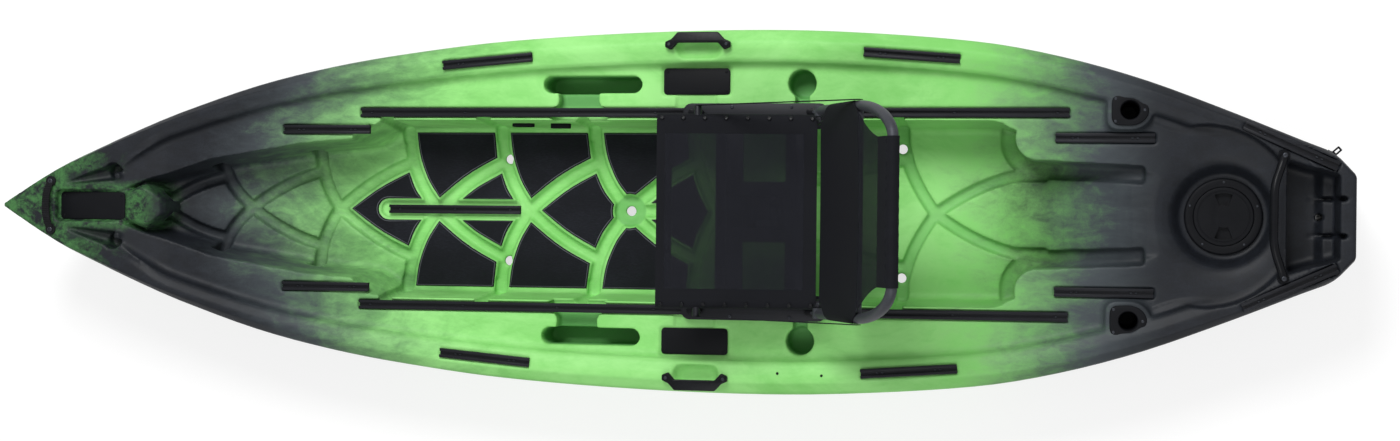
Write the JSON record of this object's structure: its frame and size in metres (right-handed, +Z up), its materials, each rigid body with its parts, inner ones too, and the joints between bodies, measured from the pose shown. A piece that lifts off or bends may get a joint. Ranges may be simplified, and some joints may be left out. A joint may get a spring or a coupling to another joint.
{
  "type": "fishing kayak",
  "caption": "Sit-on-top fishing kayak with a swivelling and sliding frame seat, gear tracks, flush rod tubes, stern hatch, grab handles and padded cockpit floor.",
  "frame": {"origin": "on the ground under the middle of the hull", "axes": "+Z up, bow towards -X, stern towards +X, starboard towards +Y"},
  "size_m": [3.3, 0.88, 0.8794],
  "materials": {
    "moulded_hull": "rotomoulded, lime green fading to mottled black at the ends",
    "black_plastic": "satin moulded black",
    "black_aluminium": "black anodised",
    "floor_foam": "matt closed-cell foam",
    "seat_mesh": "open black mesh",
    "webbing": "woven black webbing",
    "rubber": "matt black rubber"
  },
  "bodies": {
    "boat": {"hull": "moulded_hull", "bow_track_starboard": "black_aluminium", "bow_track_port": "black_aluminium", "gunwale_track_front_starboard": "black_aluminium", "gunwale_track_front_port": "black_aluminium", "gunwale_track_rear_starboard": "black_aluminium", "gunwale_track_rear_port": "black_aluminium", "rear_track_starboard": "black_aluminium", "rear_track_port": "black_aluminium", "stern_track_starboard": "black_aluminium", "stern_track_port": "black_aluminium", "rail_starboard": "black_aluminium", "rail_port": "black_aluminium", "floor_track": "black_aluminium", "pad_bow_middle": "floor_foam", "pad_centre": "floor_foam", "pad_rear_middle": "floor_foam", "pad_track_starboard": "floor_foam", "pad_side_front_starboard": "floor_foam", "pad_side_middle_starboard": "floor_foam", "pad_side_rear_starboard": "floor_foam", "pad_track_port": "floor_foam", "pad_side_front_port": "floor_foam", "pad_side_middle_port": "floor_foam", "pad_side_rear_port": "floor_foam", "bow_plate": "black_plastic", "side_plate_starboard": "black_plastic", "side_plate_port": "black_plastic", "bow_handle": "black_plastic", "carry_handle_starboard": "black_plastic", "carry_handle_port": "black_plastic", "rod_holder_starboard": "black_plastic", "rod_holder_port": "black_plastic", "hatch_ring": "black_plastic", "drain_boss": "black_plastic", "wall_bracket": "black_plastic", "cable_gland": "rubber", "stern_bar": "black_aluminium"},
    "seat_base": {"seat_plate_starboard": "black_aluminium", "seat_plate_port": "black_aluminium", "seat_bridge": "black_aluminium", "swivel_lower": "black_aluminium"},
    "seat_top": {"swivel_upper": "black_aluminium", "seat_frame": "black_aluminium", "seat_sling": "seat_mesh", "back_strap_starboard": "webbing", "back_strap_port": "webbing", "hinge_pin_starboard": "black_aluminium", "hinge_pin_port": "black_aluminium"},
    "backrest": {"back_frame": "black_aluminium", "back_sling": "seat_mesh"},
    "clamp_knob_front_starboard": {"clamp_knob_front_starboard": "black_plastic"},
    "clamp_knob_front_port": {"clamp_knob_front_port": "black_plastic"},
    "clamp_knob_rear_starboard": {"clamp_knob_rear_starboard": "black_plastic"},
    "clamp_knob_rear_port": {"clamp_knob_rear_port": "black_plastic"},
    "hatch_seal": {"hatch_seal": "rubber"},
    "hatch_lid": {"hatch_lid": "black_plastic"},
    "drain_plug": {"drain_plug": "black_plastic"}
  },
  "joints": [
    {"name": "seat_slide", "type": "slide", "parent": "boat", "child": "seat_base", "axis": [1, 0, 0], "range_m": [-0.78, 0.55]},
    {"name": "seat_swivel", "type": "hinge", "parent": "seat_base", "child": "seat_top", "pos_m": [0.285, 0, 0.309], "axis": [0, 0, 1], "continuous": true},
    {"name": "back_fold", "type": "hinge", "parent": "seat_top", "child": "backrest", "pos_m": [0.441, 0, 0.4612], "axis": [0, -1, 0], "range_deg": [0, 102]},
    {"name": "knob_turn_front_starboard", "type": "hinge", "parent": "seat_base", "child": "clamp_knob_front_starboard", "pos_m": [0.118, 0.24, 0.302], "axis": [0, 0, 1], "continuous": true},
    {"name": "knob_turn_front_port", "type": "hinge", "parent": "seat_base", "child": "clamp_knob_front_port", "pos_m": [0.118, -0.24, 0.302], "axis": [0, 0, 1], "continuous": true},
    {"name": "knob_turn_rear_starboard", "type": "hinge", "parent": "seat_base", "child": "clamp_knob_rear_starboard", "pos_m": [0.406, 0.24, 0.302], "axis": [0, 0, 1], "continuous": true},
    {"name": "knob_turn_rear_port", "type": "hinge", "parent": "seat_base", "child": "clamp_knob_rear_port", "pos_m": [0.406, -0.24, 0.302], "axis": [0, 0, 1], "continuous": true},
    {"name": "hatch_lift", "type": "slide", "parent": "boat", "child": "hatch_seal", "axis": [0, 0, 1], "range_m": [0, 0.12]},
    {"name": "hatch_turn", "type": "hinge", "parent": "hatch_seal", "child": "hatch_lid", "pos_m": [1.3629, 0, 0.24], "axis": [0, 0, 1], "continuous": true},
    {"name": "drain_turn", "type": "hinge", "parent": "boat", "child": "drain_plug", "pos_m": [1.5993, 0.1412, 0.272], "axis": [0.7431, 0.6691, 0], "continuous": true}
  ]
}
